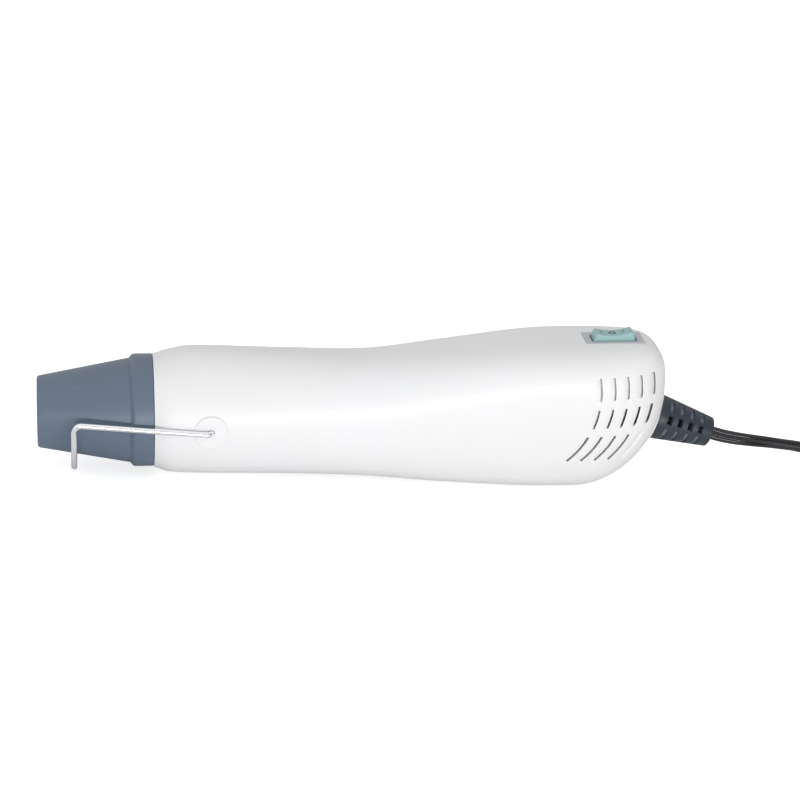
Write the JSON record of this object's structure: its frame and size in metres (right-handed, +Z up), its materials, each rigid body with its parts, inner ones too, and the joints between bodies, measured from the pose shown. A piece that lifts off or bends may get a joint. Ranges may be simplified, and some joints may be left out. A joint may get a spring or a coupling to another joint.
{
  "type": "embossing heat tool",
  "caption": "Hand-held hot air tool for embossing, with a metal nozzle, a folding wire stand, a three-way rocker switch and a mains lead.",
  "frame": {"origin": "centre of the tool's footprint on the surface it lies on, without its lead", "axes": "+X from the air outlet to the back, +Z up, the switch on top"},
  "size_m": [0.4282, 0.0892, 0.0677],
  "materials": {
    "body_white": "fine moulded, satin",
    "nozzle_slate": "satin heat-proof coat",
    "switch_grey": "satin",
    "rocker_mint": "semi-gloss",
    "wire_steel": "bright drawn wire",
    "sheet_steel": "plain",
    "mica_board": "layered mica board",
    "heater_alloy": "oxidised resistance wire",
    "ceramic_white": "bisque",
    "contact_copper": "plain",
    "inner_black": "glass-filled, matt",
    "fan_plastic": "natural nylon",
    "board_green": "printed circuit board",
    "capacitor_blue": "sleeved",
    "lead_black": "flexible PVC, satin",
    "relief_grey": "flexible PVC, matt",
    "blade_brass": "nickel-plated"
  },
  "bodies": {
    "housing": {"left_shell": "body_white", "right_shell": "body_white", "shell_screws": "sheet_steel", "nozzle_cone": "nozzle_slate", "nozzle_collar": "nozzle_slate", "heat_shield": "sheet_steel", "mica_sleeve": "mica_board", "mica_plate_upright": "mica_board", "mica_plate_flat": "mica_board", "mica_spiders": "mica_board", "heating_wire": "heater_alloy", "thermal_cutout": "ceramic_white", "cutout_strip": "contact_copper", "element_holder": "ceramic_white", "fan_duct": "inner_black", "motor_can": "sheet_steel", "motor_end_cap": "inner_black", "motor_magnets": "inner_black", "motor_brushes": "contact_copper", "motor_bushings": "contact_copper", "motor_tabs": "contact_copper", "rectifier_board": "board_green", "rectifier_diodes": "inner_black", "filter_capacitor": "capacitor_blue", "switch_housing": "switch_grey", "switch_lever": "contact_copper", "switch_terminals": "contact_copper", "strain_relief": "relief_grey", "cord_tail": "lead_black", "cord_clamp": "inner_black", "clamp_screws": "sheet_steel", "lead_wires": "lead_black", "power_cord": "lead_black", "cord_coil": "lead_black", "plug_body": "lead_black", "plug_blades": "blade_brass"},
    "stand": {"wire_stand": "wire_steel"},
    "rocker": {"switch_rocker": "rocker_mint", "switch_plunger": "sheet_steel"},
    "rotor": {"motor_shaft": "sheet_steel", "fan_impeller": "fan_plastic", "motor_armature": "sheet_steel", "motor_windings": "contact_copper", "motor_commutator": "contact_copper"}
  },
  "joints": [
    {"name": "stand_fold", "type": "hinge", "parent": "housing", "child": "stand", "pos_m": [-0.06904, 0, 0.026], "axis": [0, -1, 0], "range_deg": [0, 120]},
    {"name": "switch_rock", "type": "hinge", "parent": "housing", "child": "rocker", "pos_m": [0.09111, 0, 0.06131], "axis": [0, 1, 0], "range_deg": [-10, 10]},
    {"name": "fan_spin", "type": "hinge", "parent": "housing", "child": "rotor", "pos_m": [-0.02671, 0, 0.02858], "axis": [0.9981, 0, 0.0609], "continuous": true}
  ]
}
